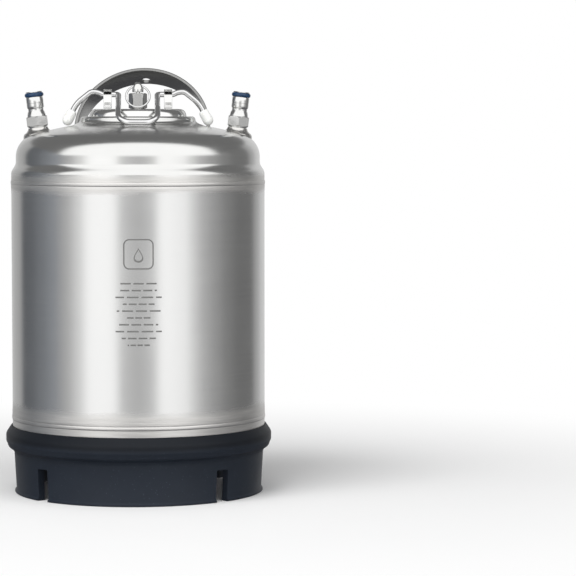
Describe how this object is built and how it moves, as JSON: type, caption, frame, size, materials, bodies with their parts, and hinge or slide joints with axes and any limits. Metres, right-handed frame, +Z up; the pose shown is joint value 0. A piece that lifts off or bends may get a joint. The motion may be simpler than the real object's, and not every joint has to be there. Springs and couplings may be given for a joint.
{
  "type": "beverage keg",
  "caption": "Small cylindrical steel beverage keg with a domed top, an oval clamped lid, two quick-connect posts, an arched handle and a rubber foot.",
  "frame": {"origin": "middle of the rest plane under the rubber boot", "axes": "+Z up along the keg, -Y towards the lifting loop of the lid bail, +X towards the liquid post"},
  "size_m": [0.2272, 0.2272, 0.3634],
  "materials": {
    "shell_steel": "satin",
    "polished_steel": "polished",
    "handle_steel": "polished",
    "post_steel": "machined",
    "wire_steel": "polished",
    "spring_steel": "drawn",
    "boot_rubber": "matte",
    "black_rubber": "satin",
    "blue_rubber": "satin",
    "white_plastic": "satin"
  },
  "bodies": {
    "keg": {"barrel": "shell_steel", "top_head": "polished_steel", "neck_ring": "polished_steel", "bottom_head": "polished_steel", "handle_strap": "handle_steel", "rubber_boot": "boot_rubber", "gas_bung": "polished_steel", "liquid_bung": "polished_steel", "gas_post": "post_steel", "liquid_post": "post_steel", "gas_post_oring": "blue_rubber", "liquid_post_oring": "blue_rubber", "gas_poppet_spring": "spring_steel", "liquid_poppet_spring": "spring_steel", "gas_dip_tube": "post_steel", "liquid_dip_tube": "post_steel", "gas_dip_tube_oring": "black_rubber", "liquid_dip_tube_oring": "black_rubber"},
    "lid": {"lid_plate": "polished_steel", "lid_oring": "black_rubber", "left_bail_bracket": "post_steel", "right_bail_bracket": "post_steel", "relief_valve_body": "post_steel", "relief_valve_nut": "post_steel", "relief_valve_spring": "spring_steel"},
    "bail": {"bail_wire": "wire_steel", "left_bail_foot": "white_plastic", "right_bail_foot": "white_plastic"},
    "relief_stem": {"relief_valve_stem": "post_steel", "relief_valve_seal": "black_rubber"},
    "relief_ring": {"relief_valve_ring": "wire_steel"},
    "gas_valve": {"gas_poppet": "post_steel", "gas_poppet_seal": "black_rubber"},
    "liquid_valve": {"liquid_poppet": "post_steel", "liquid_poppet_seal": "black_rubber"}
  },
  "joints": [
    {"name": "lid_drop", "type": "slide", "parent": "keg", "child": "lid", "axis": [0, 0, -1], "range_m": [0, 0.005]},
    {"name": "bail_swing", "type": "hinge", "parent": "lid", "child": "bail", "pos_m": [0, 0, 0.33925], "axis": [-1, 0, 0], "range_deg": [0, 112]},
    {"name": "relief_pull", "type": "slide", "parent": "lid", "child": "relief_stem", "axis": [0, 0, 1], "range_m": [0, 0.0025], "stiffness_N_per_m": 1500, "springref_m": -0.005, "deforming": ["relief_valve_spring"]},
    {"name": "ring_swing", "type": "hinge", "parent": "relief_stem", "child": "relief_ring", "pos_m": [0, 0, 0.34665], "axis": [-1, 0, 0], "range_deg": [0, 150]},
    {"name": "gas_poppet_press", "type": "slide", "parent": "keg", "child": "gas_valve", "axis": [0.1132, 0, -0.9936], "range_m": [0, 0.003], "stiffness_N_per_m": 600, "springref_m": -0.004, "deforming": ["gas_poppet_spring"]},
    {"name": "liquid_poppet_press", "type": "slide", "parent": "keg", "child": "liquid_valve", "axis": [-0.1132, 0, -0.9936], "range_m": [0, 0.003], "stiffness_N_per_m": 600, "springref_m": -0.004, "deforming": ["liquid_poppet_spring"]}
  ],
  "couplings": [
    {"joint": "lid_drop", "follows": "bail_swing", "m_per_rad": 0.0025}
  ]
}
